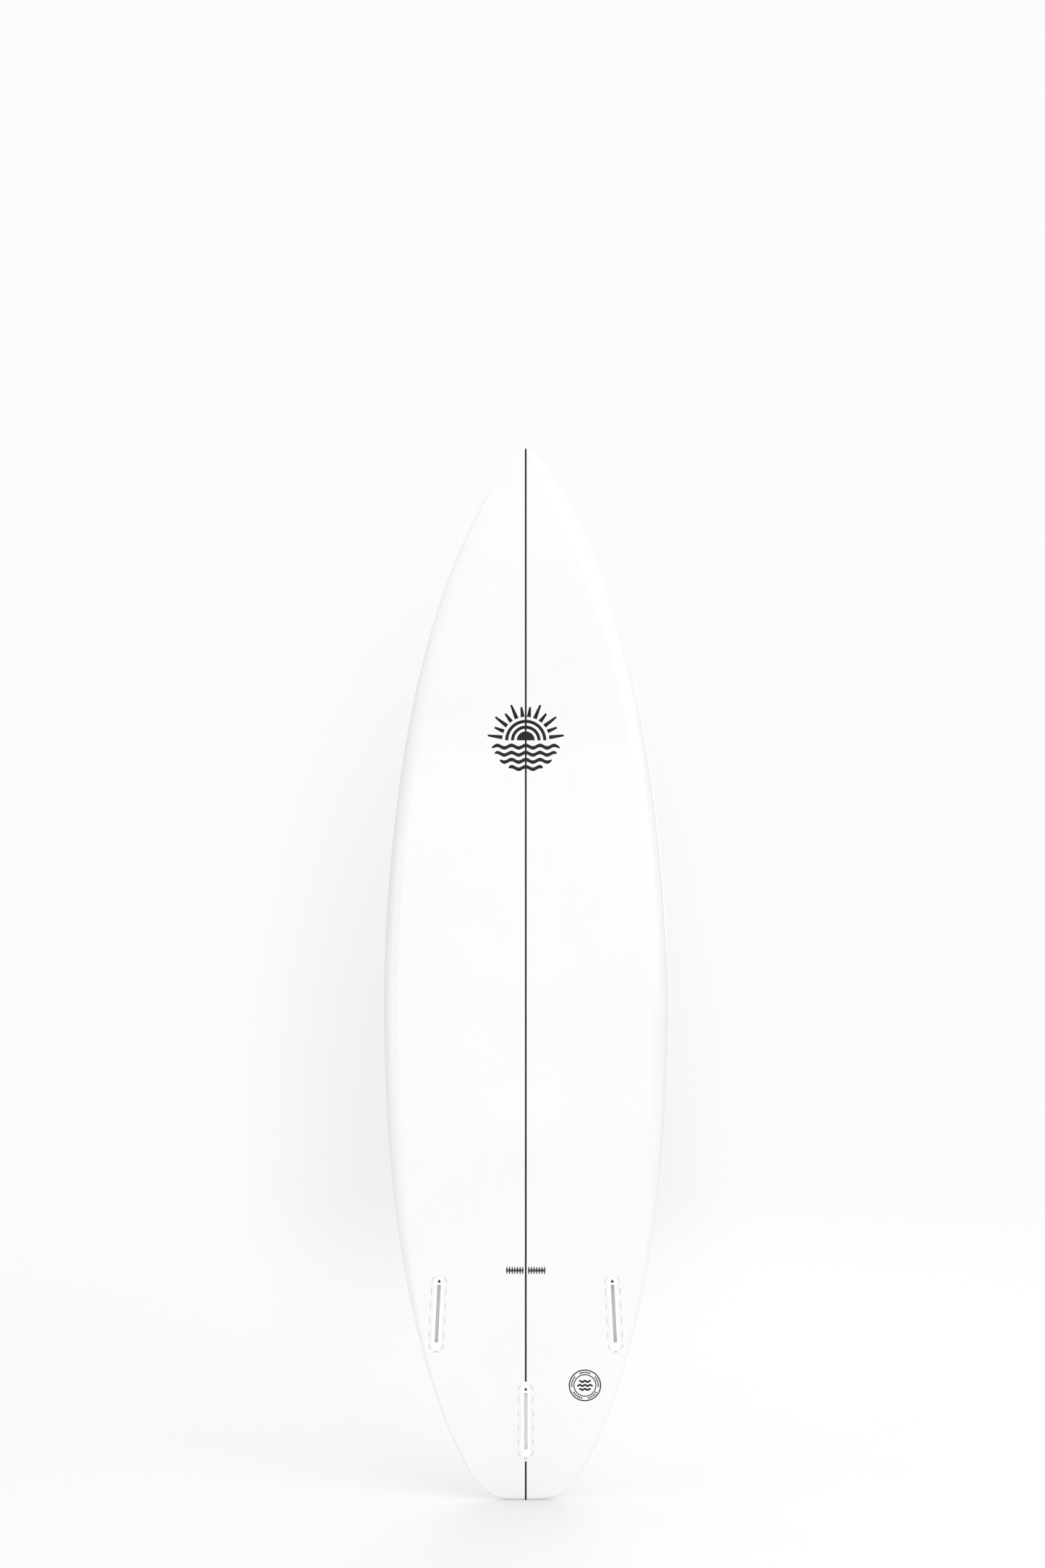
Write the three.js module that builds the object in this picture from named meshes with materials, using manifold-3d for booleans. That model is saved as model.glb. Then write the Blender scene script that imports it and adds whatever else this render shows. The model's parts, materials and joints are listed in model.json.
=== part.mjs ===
// A foam-cored shortboard standing on its tail, built as it is made: two foam halves on a centre stringer,
// a glass skin on the bottom and one on the deck, three fin boxes with their set screws, a leash plug and
// the printed sheets under the bottom skin. Millimetres. +Z runs from the tail to the nose, the bottom
// faces -Y and the deck +Y, so the rider's left is +X. The origin is the bottom centre of the whole box.

import * as THREE from 'three';
import { mergeVertices } from 'three/addons/utils/BufferGeometryUtils.js';
import { ParametricGeometry } from 'three/addons/geometries/ParametricGeometry.js';
import Module from 'manifold-3d';

const wasm = await Module();
wasm.setup();

// ---- Driving dimensions -------------------------------------------------------------------------------

// Board, overall
const LENGTH = 1829;
const HALF_WIDTH = 244.5;
const WIDE_POINT = 870;
const THICKNESS = 62;
const THICK_POINT = 950;
const NOSE_ROCKER = 125;
const TAIL_ROCKER = 60;
const ROCKER_LOW_POINT = 860;
const ROCKER_POWER = 2.2;

// Board, plan outline: each curve runs from the wide point to one end
const NOSE_CURVE = { reach: 1.87, close: 0.713, swell: 0.455 };
const TAIL_CURVE = { reach: 1.744, close: 0.238, pull: 0.37 };

// Board, section
const NOSE_THICKNESS = 9;
const TAIL_THICKNESS = 14;
const NOSE_FOIL = 1.7;
const TAIL_FOIL = 1.76;
const DECK_FALL = 0.62;
const RAIL = { tail: 0.3, middle: 0.42, nose: 0.5, tailEnd: 500, noseStart: 1400 };
const TUCK = { tail: 6, middle: 30, from: 150, to: 700, limit: 0.6 };
const CONCAVE = { depth: 3.5, start: 400, full: 750, fade: 1200, end: 1600 };
const NOSE_ROUND = 6;
const TAIL_ROUND = 8;

// Layers, as depths below the outer surface
const GAP = 0.3;
const SKIN = 0.9;
const SKIN_GAP = 0.45;
const CORE_DEPTH = SKIN + SKIN_GAP;
const DECAL_SHEET = 0.2;
const PATCH_SHEET = 0.6;

// Stringer
const STRINGER = 3.2;

// Fin boxes: long single-slot boxes, the side pair deeper than the centre one
const SIDE_BOX_X = 151.5;
const SIDE_BOX_Z = 329;
const SIDE_BOX_TOE = 2.95;
const CENTER_BOX_Z = 140;
const SIDE_BOX_DEPTH = 19;
const CENTER_BOX_DEPTH = 12.7;
const BOX_FLOOR = 2;
const RIM = { width: 15, length: 128 };
const FLANGE = { width: 25.4, length: 133, top: 1.6, thick: 1.6 };
const BODY = { width: 11.5, length: 122 };
const SLOT = { width: 6.1, length: 102, corner: 1 };
const RIM_INSET = 0.2;

// Fin set screws
const SCREW_SLANT = 45;
const SCREW_MOUTH = 58.2;
const SCREW_BORE_RADIUS = 2.4;
const SCREW_RADIUS = 2.1;
const SCREW_LENGTH = 6;
const SCREW_RECESS = 2.5;
const SOCKET_ACROSS_FLATS = 2.4;
const SOCKET_DEPTH = 3;

// Leash plug
const CUP_X = 24;
const CUP_Z = 80;
const CUP_RADIUS = 14.3;
const CUP_DEPTH = 15;
const CUP_MOUTH_RADIUS = 10.6;
const CUP_BOWL_RADIUS = 9.4;
const CUP_FLOOR = 2.4;
const PIN_RADIUS = 2;
const PIN_DEPTH = 4.4;
const PIN_LENGTH = 25.4;

// Printed sheets
const LOGO = { x: 0, z: 1321, radius: 66 };
const NAME = { x: 0, z: 405, width: 78, height: 22, corner: 3 };
const BADGE = { x: 102, z: 204, radius: 31 };

// Deck patch, from the tail pad area to ahead of the front foot
const PATCH = { low: 160, high: 1240, share: 0.74, ends: 8 };

// Mesh density: the lofted surfaces along and around the board, then round parts
const STATIONS = 30;
const AROUND = 32;
const SCREW_SIDES = 20;
const PIN_SIDES = 16;
const CUP_SIDES = 28;
const BIG_ARC = 8;
const SMALL_ARC = 3;

// How far a cutting solid runs past the face that it cuts
const OVERRUN = 8;

// ---- Board form ---------------------------------------------------------------------------------------

// The least width or slant that a division by it allows.
const NEARLY_ZERO = 1e-6;

const smooth = (from, to, z) => THREE.MathUtils.smoothstep(z, from, to);

// Half the width of the plan outline at height z: one curve from the wide point to each end.
function halfWidth(z) {
  if (z >= WIDE_POINT) {
    const t = Math.min((z - WIDE_POINT) / (LENGTH - WIDE_POINT), 1);
    const { reach, close, swell } = NOSE_CURVE;
    return HALF_WIDTH * (1 - t ** reach) ** close * (1 + swell * t ** 3 * (1 - t));
  }
  const t = Math.min((WIDE_POINT - z) / WIDE_POINT, 1);
  const { reach, close, pull } = TAIL_CURVE;
  return HALF_WIDTH * (1 - t ** reach) ** close * (1 - pull * t ** 3);
}

// How much a distance across the board shortens when it is measured square to the outline.
function outlineSlant(z) {
  const step = Math.min(1, z, LENGTH - z) / 2;
  if (step <= 0) return 0;
  const slope = (halfWidth(z + step) - halfWidth(z - step)) / (2 * step);
  return 1 / Math.hypot(1, slope);
}

// Depth of the bottom behind its lowest point, along the stringer.
function rocker(z) {
  if (z >= ROCKER_LOW_POINT) {
    return NOSE_ROCKER * ((z - ROCKER_LOW_POINT) / (LENGTH - ROCKER_LOW_POINT)) ** ROCKER_POWER;
  }
  return TAIL_ROCKER * ((ROCKER_LOW_POINT - z) / ROCKER_LOW_POINT) ** ROCKER_POWER;
}

// Thickness along the stringer.
function thickness(z) {
  if (z >= THICK_POINT) {
    const t = (z - THICK_POINT) / (LENGTH - THICK_POINT);
    return NOSE_THICKNESS + (THICKNESS - NOSE_THICKNESS) * (1 - t ** NOSE_FOIL);
  }
  const t = (THICK_POINT - z) / THICK_POINT;
  return TAIL_THICKNESS + (THICKNESS - TAIL_THICKNESS) * (1 - t ** TAIL_FOIL);
}

// Height of the rail's outermost line above the bottom: low at the tail, halfway up at the nose.
function railHeight(z) {
  const { tail, middle, nose, tailEnd, noseStart } = RAIL;
  const towardsTail = (middle - tail) * (1 - smooth(0, tailEnd, z));
  const towardsNose = (nose - middle) * smooth(noseStart, LENGTH, z);
  return (middle - towardsTail + towardsNose) * thickness(z);
}

const tuckWidth = (z) => TUCK.tail + (TUCK.middle - TUCK.tail) * smooth(TUCK.from, TUCK.to, z);

function concave(z) {
  const { depth, start, full, fade, end } = CONCAVE;
  return depth * smooth(start, full, z) * (1 - smooth(fade, end, z));
}

// A quarter circle that closes a surface over its last stretch.
const quarter = (share) => (share >= 1 ? 1 : Math.sqrt(1 - (1 - Math.max(share, 0)) ** 2));
const endRound = (z) => quarter(z / TAIL_ROUND) * quarter((LENGTH - z) / NOSE_ROUND);

const railLine = (z) => rocker(z) + railHeight(z);

// How far the tucked edge reaches in from the rail, measured straight across the board.
function tuckReach(z) {
  const slant = Math.max(outlineSlant(z), NEARLY_ZERO);
  return Math.max(Math.min(tuckWidth(z) / slant, TUCK.limit * halfWidth(z)), NEARLY_ZERO);
}

// The bottom surface across the board: flat or concave, then tucked up to the rail.
function bottomAt(x, z) {
  const width = Math.max(halfWidth(z), NEARLY_ZERO);
  const share = Math.min(Math.abs(x) / width, 1);
  const tuck = quarter((width * (1 - share)) / tuckReach(z));
  return railLine(z) - (railHeight(z) + concave(z) * share ** 2) * tuck * endRound(z);
}

// The deck surface across the board: domed, falling to the rail.
function deckAt(x, z) {
  const share = Math.min(Math.abs(x) / Math.max(halfWidth(z), NEARLY_ZERO), 1);
  const rise = thickness(z) - railHeight(z);
  return railLine(z) + rise * (1 - share ** 2) ** DECK_FALL * endRound(z);
}

// Stations crowd towards both ends, where the outline closes fastest.
const stationHeight = (u) => LENGTH * u ** 3 * (10 - 15 * u + 6 * u ** 2);

// Where a turn round the section falls across the bottom: half of it on the flat, half round the tuck.
function bottomReach(turn, z) {
  const share = (2 * Math.asin(Math.min(Math.abs(Math.sin(turn)), 1))) / Math.PI;
  const flat = halfWidth(z) - tuckReach(z);
  if (share <= 0.5) return 2 * share * flat;
  return flat + tuckReach(z) * Math.sin((share - 0.5) * Math.PI);
}

// A point of the outer surface. turn goes round the section from the bottom's centre through +X.
function surfacePoint(u, turn, target) {
  const z = stationHeight(u);
  if (Math.cos(turn) < -NEARLY_ZERO) {
    const x = halfWidth(z) * Math.sin(turn);
    return target.set(x, deckAt(x, z), z);
  }
  const x = Math.sign(Math.sin(turn)) * bottomReach(turn, z);
  return target.set(x, bottomAt(x, z), z);
}

// The same point moved straight in by a depth.
function layerPoint(u, turn, depth, target) {
  surfacePoint(u, turn, target);
  if (depth === 0) return target;
  const step = 1e-4;
  const turnStep = 5e-3;
  if (u < step || u > 1 - step) return target.setZ(target.z + (u < step ? depth : -depth));
  const ahead = new THREE.Vector3();
  const behind = new THREE.Vector3();
  surfacePoint(u + step, turn, ahead);
  const along = ahead.clone().sub(surfacePoint(u - step, turn, behind));
  surfacePoint(u, turn + turnStep, ahead);
  const around = ahead.clone().sub(surfacePoint(u, turn - turnStep, behind));
  const inwards = along.cross(around).normalize();
  return target.addScaledVector(inwards, depth);
}

// ---- Solids -------------------------------------------------------------------------------------------

// A closed geometry as a manifold solid: shared vertices merged, collapsed triangles dropped, faces out.
function solid(geometry) {
  const bare = geometry.clone();
  bare.deleteAttribute('normal');
  bare.deleteAttribute('uv');
  const merged = mergeVertices(bare, 1e-4);
  const index = Array.from(merged.index.array);
  const kept = [];
  for (let i = 0; i < index.length; i += 3) {
    const [a, b, c] = index.slice(i, i + 3);
    if (a !== b && b !== c && c !== a) kept.push(a, b, c);
  }
  const vertProperties = Float32Array.from(merged.attributes.position.array);
  if (signedVolume(vertProperties, kept) < 0) kept.reverse();
  return new wasm.Manifold(new wasm.Mesh({ numProp: 3, vertProperties, triVerts: Uint32Array.from(kept) }));
}

function signedVolume(points, triangles) {
  const corner = (i) => new THREE.Vector3().fromArray(points, 3 * triangles[i]);
  let sum = 0;
  for (let i = 0; i < triangles.length; i += 3) {
    sum += corner(i).dot(corner(i + 1).cross(corner(i + 2)));
  }
  return sum;
}

function geometryOf(manifold) {
  const { vertProperties, triVerts } = manifold.getMesh();
  const geometry = new THREE.BufferGeometry();
  geometry.setAttribute('position', new THREE.BufferAttribute(vertProperties, 3));
  geometry.setIndex(new THREE.BufferAttribute(triVerts, 1));
  geometry.computeVertexNormals();
  return geometry;
}

// The whole board shrunk by a depth on every side.
function boardSolid(depth) {
  const loft = (u, v, target) => layerPoint(u, 2 * Math.PI * (v % 1), depth, target);
  return solid(new ParametricGeometry(loft, STATIONS, AROUND));
}

// One skin: its outer surface from rail to rail, then back along its inner surface. side is 1 for the deck.
function skinSolid(side) {
  const middle = side > 0 ? Math.PI : 0;
  const half = AROUND / 2;
  const samples = 2 * (half + 1);
  const loft = (u, v, target) => {
    const sample = Math.round(v * samples) % samples;
    const outside = sample <= half;
    const share = outside ? (2 * sample) / half - 1 : 1 - (2 * (sample - half - 1)) / half;
    layerPoint(u, middle + (share * Math.PI) / 2, outside ? 0 : SKIN, target);
    const onSeam = Math.abs(share) === 1 || u === 0 || u === 1;
    if (onSeam) target.y += (side * GAP) / 2;
    return target;
  };
  return solid(new ParametricGeometry(loft, STATIONS, samples));
}

// A plan outline (x, z) raised along Y from one height to another.
function upright(shape, from, to, curveSegments = BIG_ARC) {
  const settings = { depth: to - from, bevelEnabled: false, curveSegments };
  const geometry = new THREE.ExtrudeGeometry(shape, settings);
  return geometry.rotateX(Math.PI / 2).translate(0, to, 0);
}

function disc(x, z, radius) {
  return new THREE.Shape().absarc(x, z, radius, 0, 2 * Math.PI);
}

function stadium(width, length) {
  const radius = width / 2;
  const reach = length / 2 - radius;
  const shape = new THREE.Shape();
  shape.absarc(0, reach, radius, 0, Math.PI);
  shape.absarc(0, -reach, radius, Math.PI, 2 * Math.PI);
  shape.closePath();
  return shape;
}

function roundedRectangle(x, z, width, height, corner) {
  const right = width / 2 - corner;
  const top = height / 2 - corner;
  const shape = new THREE.Shape();
  shape.absarc(x + right, z + top, corner, 0, Math.PI / 2);
  shape.absarc(x - right, z + top, corner, Math.PI / 2, Math.PI);
  shape.absarc(x - right, z - top, corner, Math.PI, 1.5 * Math.PI);
  shape.absarc(x + right, z - top, corner, 1.5 * Math.PI, 2 * Math.PI);
  shape.closePath();
  return shape;
}

// ---- Frames on the board's surface --------------------------------------------------------------------

// A frame whose Y points into the bottom, its Z along the board, turned by the toe angle.
function bottomFrame(x, z, toe) {
  const rise = (bottomAt(x, z + 1) - bottomAt(x, z - 1)) / 2;
  const inwards = new THREE.Vector3(0, 1, -rise).normalize();
  const across = new THREE.Vector3(1, 0, 0);
  const frame = new THREE.Group();
  frame.applyMatrix4(new THREE.Matrix4().makeBasis(across, inwards, across.clone().cross(inwards)));
  frame.rotateY(THREE.MathUtils.degToRad(toe));
  frame.position.set(x, bottomAt(x, z) + RIM_INSET, z);
  frame.updateMatrixWorld();
  return frame;
}

// A frame whose Y points into the deck.
function deckFrame(x, z) {
  const rise = (deckAt(x, z + 1) - deckAt(x, z - 1)) / 2;
  const fall = (deckAt(x + 1, z) - deckAt(x - 1, z)) / 2;
  const inwards = new THREE.Vector3(fall, -1, rise).normalize();
  const across = new THREE.Vector3(-1, 0, 0).addScaledVector(inwards, inwards.x).normalize();
  const frame = new THREE.Group();
  frame.applyMatrix4(new THREE.Matrix4().makeBasis(across, inwards, across.clone().cross(inwards)));
  frame.position.set(x, deckAt(x, z), z);
  frame.updateMatrixWorld();
  return frame;
}

const placed = (geometry, frame) => solid(geometry.clone().applyMatrix4(frame.matrixWorld));

// ---- Fin boxes ----------------------------------------------------------------------------------------

// A round rod along the set screw's slanted axis, between two distances from the bore's mouth.
function slanted(radius, from, to) {
  const slant = THREE.MathUtils.degToRad(SCREW_SLANT);
  const rod = new THREE.CylinderGeometry(radius, radius, to - from, SCREW_SIDES);
  rod.translate(0, (from + to) / 2, 0);
  return rod.rotateX(-slant).translate(0, 0, SCREW_MOUTH);
}

function finBox(depth) {
  const flangeFoot = FLANGE.top + FLANGE.thick;
  const slotShape = roundedRectangle(0, 0, SLOT.width, SLOT.length, SLOT.corner);
  const slotWall = (SCREW_MOUTH - SLOT.length / 2) / Math.sin(THREE.MathUtils.degToRad(SCREW_SLANT));
  return solid(upright(stadium(RIM.width, RIM.length), 0, flangeFoot))
    .add(solid(upright(stadium(FLANGE.width, FLANGE.length), FLANGE.top, flangeFoot)))
    .add(solid(upright(stadium(BODY.width, BODY.length), FLANGE.top, depth)))
    .subtract(solid(upright(slotShape, -OVERRUN, depth - BOX_FLOOR, SMALL_ARC)))
    .subtract(solid(slanted(SCREW_BORE_RADIUS, -OVERRUN, slotWall + SCREW_BORE_RADIUS + BOX_FLOOR / 2)));
}

// The room that a box takes out of the foam and the stringer.
function finBoxPocket(depth, frame) {
  const flangeFoot = FLANGE.top + FLANGE.thick + GAP;
  const wide = stadium(FLANGE.width + 2 * GAP, FLANGE.length + 2 * GAP);
  const deep = stadium(BODY.width + 2 * GAP, BODY.length + 2 * GAP);
  return placed(upright(wide, -OVERRUN, flangeFoot), frame).add(
    placed(upright(deep, -OVERRUN, depth + GAP), frame),
  );
}

// The hole that a box's rim fills in the bottom skin.
function finBoxWindow(frame) {
  const shape = stadium(RIM.width + 2 * GAP, RIM.length + 2 * GAP);
  return placed(upright(shape, -OVERRUN, OVERRUN), frame);
}

// A headless set screw with a hexagon socket and a chamfered tip, along its own slanted axis.
function finScrew() {
  const slant = THREE.MathUtils.degToRad(SCREW_SLANT);
  const chamfer = 0.6;
  const profile = [
    [0, 0],
    [SCREW_RADIUS, 0],
    [SCREW_RADIUS, SCREW_LENGTH - chamfer],
    [SCREW_RADIUS - chamfer, SCREW_LENGTH],
    [0, SCREW_LENGTH],
  ].map(([radius, along]) => new THREE.Vector2(radius, along));
  const shank = new THREE.LatheGeometry(profile, SCREW_SIDES);
  const socketRadius = SOCKET_ACROSS_FLATS / Math.sqrt(3);
  const socket = new THREE.CylinderGeometry(socketRadius, socketRadius, 2 * SOCKET_DEPTH, 6);
  const screw = geometryOf(solid(shank).subtract(solid(socket)));
  return screw.translate(0, SCREW_RECESS, 0).rotateX(-slant).translate(0, 0, SCREW_MOUTH);
}

// ---- Leash plug ---------------------------------------------------------------------------------------

function leashCup() {
  const floor = CUP_DEPTH - CUP_FLOOR;
  const bend = 3;
  const bendSteps = 3;
  const profile = [new THREE.Vector2(0, CUP_DEPTH), new THREE.Vector2(CUP_RADIUS, CUP_DEPTH)];
  profile.push(new THREE.Vector2(CUP_RADIUS, 0), new THREE.Vector2(CUP_MOUTH_RADIUS, 0));
  for (let i = 0; i <= bendSteps; i += 1) {
    const turn = (i / bendSteps) * (Math.PI / 2);
    const radius = CUP_BOWL_RADIUS - bend + bend * Math.cos(turn);
    profile.push(new THREE.Vector2(radius, floor - bend + bend * Math.sin(turn)));
  }
  profile.push(new THREE.Vector2(0, floor));
  const holeRadius = PIN_RADIUS + GAP;
  const hole = new THREE.CylinderGeometry(holeRadius, holeRadius, PIN_LENGTH + 2 * GAP, PIN_SIDES);
  hole.rotateZ(Math.PI / 2).translate(0, PIN_DEPTH, 0);
  return geometryOf(solid(new THREE.LatheGeometry(profile, CUP_SIDES)).subtract(solid(hole)));
}

function leashPin() {
  const pin = new THREE.CylinderGeometry(PIN_RADIUS, PIN_RADIUS, PIN_LENGTH, PIN_SIDES);
  return pin.rotateZ(Math.PI / 2).translate(0, PIN_DEPTH, 0);
}

// The room that the cup takes out of the deck.
function leashHole(frame) {
  const radius = CUP_RADIUS + GAP;
  const floor = CUP_DEPTH + GAP;
  const hole = new THREE.CylinderGeometry(radius, radius, floor + OVERRUN, CUP_SIDES);
  return placed(hole.translate(0, (floor - OVERRUN) / 2, 0), frame);
}

// ---- Printed sheets and deck patch --------------------------------------------------------------------

// Plan outlines of the sheets, each grown by a margin for its recess, and the segments of each arc.
const sheets = {
  logo_decal: { segments: 32, shape: (margin) => disc(LOGO.x, LOGO.z, LOGO.radius + margin) },
  name_decal: {
    segments: SMALL_ARC,
    shape: (margin) => {
      const grow = 2 * margin;
      return roundedRectangle(NAME.x, NAME.z, NAME.width + grow, NAME.height + grow, NAME.corner + margin);
    },
  },
  badge_decal: { segments: 24, shape: (margin) => disc(BADGE.x, BADGE.z, BADGE.radius + margin) },
};

// Outline of the deck patch: the board's own outline narrowed, with round ends.
function patchShape(margin) {
  const points = [];
  const steps = 12;
  for (let i = 0; i <= steps; i += 1) {
    const t = i / steps;
    const z = PATCH.low - margin + (PATCH.high - PATCH.low + 2 * margin) * t;
    const close = Math.sqrt(1 - (2 * t - 1) ** PATCH.ends);
    points.push(new THREE.Vector2(PATCH.share * halfWidth(z) * close + margin * Math.sign(close), z));
  }
  const mirrored = points.slice(1, -1).reverse().map((p) => new THREE.Vector2(-p.x, p.y));
  return new THREE.Shape([...points, ...mirrored]);
}

// Heights that lie outside the bottom, inside the board and outside the deck wherever a sheet is.
const OUTSIDE_BOTTOM = -20;
const INSIDE = 45;
const OUTSIDE_DECK = 120;

// ---- Assembly -----------------------------------------------------------------------------------------

function material(color, roughness, metalness = 0) {
  return new THREE.MeshStandardMaterial({ color, roughness, metalness });
}

const foamLook = () => material(0xf7f7f4, 0.9);
const skinLook = () => material(0xfafafa, 0.15);
const boxLook = () => material(0xf2f2f2, 0.35);
const steelLook = () => material(0x8b8d90, 0.3, 1);

const boxes = [
  { side: 'left', frame: bottomFrame(SIDE_BOX_X, SIDE_BOX_Z, -SIDE_BOX_TOE), depth: SIDE_BOX_DEPTH },
  { side: 'right', frame: bottomFrame(-SIDE_BOX_X, SIDE_BOX_Z, SIDE_BOX_TOE), depth: SIDE_BOX_DEPTH },
  { side: 'center', frame: bottomFrame(0, CENTER_BOX_Z, 0), depth: CENTER_BOX_DEPTH },
];
const plugFrame = deckFrame(CUP_X, CUP_Z);
const board = new THREE.Group();

function addMesh(parent, name, geometry, look) {
  const mesh = new THREE.Mesh(geometry, look);
  mesh.name = name;
  parent.add(mesh);
}

function addSheets(core) {
  let rest = core;
  const under = boardSolid(CORE_DEPTH + DECAL_SHEET);
  const recess = boardSolid(CORE_DEPTH + DECAL_SHEET + GAP);
  for (const [name, { shape, segments }] of Object.entries(sheets)) {
    const sheet = solid(upright(shape(0), OUTSIDE_BOTTOM, INSIDE, segments)).intersect(core).subtract(under);
    addMesh(board, name, geometryOf(sheet), material(0xededed, 0.6));
    rest = rest.subtract(solid(upright(shape(GAP), OUTSIDE_BOTTOM, INSIDE, segments)).subtract(recess));
  }
  return rest;
}

function addPatch(core, whole) {
  const patch = solid(upright(patchShape(0), INSIDE, OUTSIDE_DECK)).intersect(whole);
  const sheet = patch.subtract(boardSolid(CORE_DEPTH + PATCH_SHEET));
  addMesh(board, 'deck_patch', geometryOf(sheet), material(0xf3f5f2, 0.4));
  const recess = solid(upright(patchShape(GAP), INSIDE, OUTSIDE_DECK));
  return core.subtract(recess.subtract(boardSolid(CORE_DEPTH + PATCH_SHEET + GAP)));
}

function addCore() {
  const whole = boardSolid(CORE_DEPTH);
  let core = addPatch(addSheets(whole), whole);
  for (const { frame, depth } of boxes) core = core.subtract(finBoxPocket(depth, frame));
  core = core.subtract(leashHole(plugFrame));
  const slab = (low, high) => {
    const depth = 2 * (NOSE_ROCKER + THICKNESS);
    const box = new THREE.BoxGeometry(high - low, depth, LENGTH + 2 * OVERRUN);
    return solid(box.translate((low + high) / 2, 0, LENGTH / 2));
  };
  const half = STRINGER / 2;
  const edge = half + GAP;
  const far = HALF_WIDTH + OVERRUN;
  addMesh(board, 'stringer', geometryOf(core.intersect(slab(-half, half))), material(0x16171a, 0.5));
  addMesh(board, 'foam_core_left', geometryOf(core.intersect(slab(edge, far))), foamLook());
  addMesh(board, 'foam_core_right', geometryOf(core.intersect(slab(-far, -edge))), foamLook());
}

function addSkins() {
  let bottom = skinSolid(-1);
  for (const { frame } of boxes) bottom = bottom.subtract(finBoxWindow(frame));
  addMesh(board, 'bottom_laminate', geometryOf(bottom), skinLook());
  const deck = skinSolid(1).subtract(leashHole(plugFrame));
  addMesh(board, 'deck_laminate', geometryOf(deck), skinLook());
}

function addFinBoxes() {
  for (const { side, frame, depth } of boxes) {
    addMesh(frame, `fin_box_${side}`, geometryOf(finBox(depth)), boxLook());
    addMesh(frame, `fin_screw_${side}`, finScrew(), steelLook());
    board.add(frame);
  }
}

function addLeashPlug() {
  addMesh(plugFrame, 'leash_cup', leashCup(), boxLook());
  addMesh(plugFrame, 'leash_pin', leashPin(), steelLook());
  board.add(plugFrame);
}

addCore();
addSkins();
addFinBoxes();
addLeashPlug();

// The origin goes to the middle of the board's depth, at the level that the tail stands on.
const extent = new THREE.Box3().setFromObject(board);
board.position.y = -(extent.min.y + extent.max.y) / 2;

const surfboard = new THREE.Group();
surfboard.name = 'surfboard';
surfboard.add(board);

export default surfboard;
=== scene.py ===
"""A white glassed shortboard standing on its tail, seen from its bottom.

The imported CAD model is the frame. The glass skins, the fin boxes with their set screws, the leash plug and
the printed marks are made here as fine meshes on the same board form; the foam, the stringer and the deck
patch stay CAD nodes inside them. Metres, in the row frame: +Z to the nose, bottom to -Y, deck to +Y.
"""

import json
import math

import bmesh
import bpy
import numpy as np
from mathutils import Matrix, Vector
from mathutils.kdtree import KDTree


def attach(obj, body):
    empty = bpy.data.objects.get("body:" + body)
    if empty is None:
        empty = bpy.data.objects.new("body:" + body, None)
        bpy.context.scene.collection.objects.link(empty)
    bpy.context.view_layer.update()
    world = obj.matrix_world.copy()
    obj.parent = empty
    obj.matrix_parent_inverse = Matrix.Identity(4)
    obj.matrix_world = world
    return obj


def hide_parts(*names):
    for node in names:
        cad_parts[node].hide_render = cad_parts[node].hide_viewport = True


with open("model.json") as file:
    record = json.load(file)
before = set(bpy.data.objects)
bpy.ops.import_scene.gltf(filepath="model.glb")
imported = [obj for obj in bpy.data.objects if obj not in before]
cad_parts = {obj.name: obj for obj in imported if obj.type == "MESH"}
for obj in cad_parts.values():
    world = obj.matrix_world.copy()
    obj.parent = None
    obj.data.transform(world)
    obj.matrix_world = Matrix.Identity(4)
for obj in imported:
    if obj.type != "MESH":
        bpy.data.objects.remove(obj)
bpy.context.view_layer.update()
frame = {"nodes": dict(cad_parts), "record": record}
record = frame["record"]
nodes = frame["nodes"]

# ---- Driving dimensions, as in the CAD part ----

LENGTH = 1.829
HALF_WIDTH = 0.2445
WIDE_POINT = 0.870
THICKNESS = 0.062
THICK_POINT = 0.950
NOSE_ROCKER = 0.125
TAIL_ROCKER = 0.060
ROCKER_LOW_POINT = 0.860
ROCKER_POWER = 2.2
NOSE_CURVE = {"reach": 1.87, "close": 0.713, "swell": 0.455}
TAIL_CURVE = {"reach": 1.744, "close": 0.238, "pull": 0.37}
NOSE_THICKNESS = 0.009
TAIL_THICKNESS = 0.014
NOSE_FOIL = 1.7
TAIL_FOIL = 1.76
DECK_FALL = 0.62
RAIL = {"tail": 0.3, "middle": 0.42, "nose": 0.5, "tail_end": 0.5, "nose_start": 1.4}
TUCK = {"tail": 0.006, "middle": 0.030, "start": 0.150, "end": 0.700, "limit": 0.6}
CONCAVE = {"depth": 0.0035, "start": 0.4, "full": 0.75, "fade": 1.2, "end": 1.6}
NOSE_ROUND = 0.006
TAIL_ROUND = 0.008

SKIN = 0.0009
SKIN_SHARE = 0.25
STRINGER = 0.0032
STRINGER_SHARE = 0.38

# Fin boxes, in their own frames: X across, Y into the board, Z towards the nose
SIDE_BOX = {"depth": 0.019, "toe": math.radians(2.95), "tail_corner": 0.0022}
CENTER_BOX = {"depth": 0.0127, "toe": 0.0, "tail_corner": 0.0016}
BOX_FLOOR = 0.002
RIM_INSET = 0.0002
RIM = (0.015, 0.128)
FLANGE = (0.0254, 0.133)
FLANGE_TOP = 0.0016
FLANGE_FOOT = 0.0032
BOX_BODY = (0.0115, 0.122)
SLOT = (0.0061, 0.102)
SLOT_CORNER = 0.001
SLOT_LIP = 0.00045
SLOT_BEND = 0.0006
BODY_ROUND = 0.0008
BODY_FILLET = 0.0006
FLANGE_EDGE = 0.0003
RIM_EDGE = 0.0001
ROUTED_LENGTH = 0.1412

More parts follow.
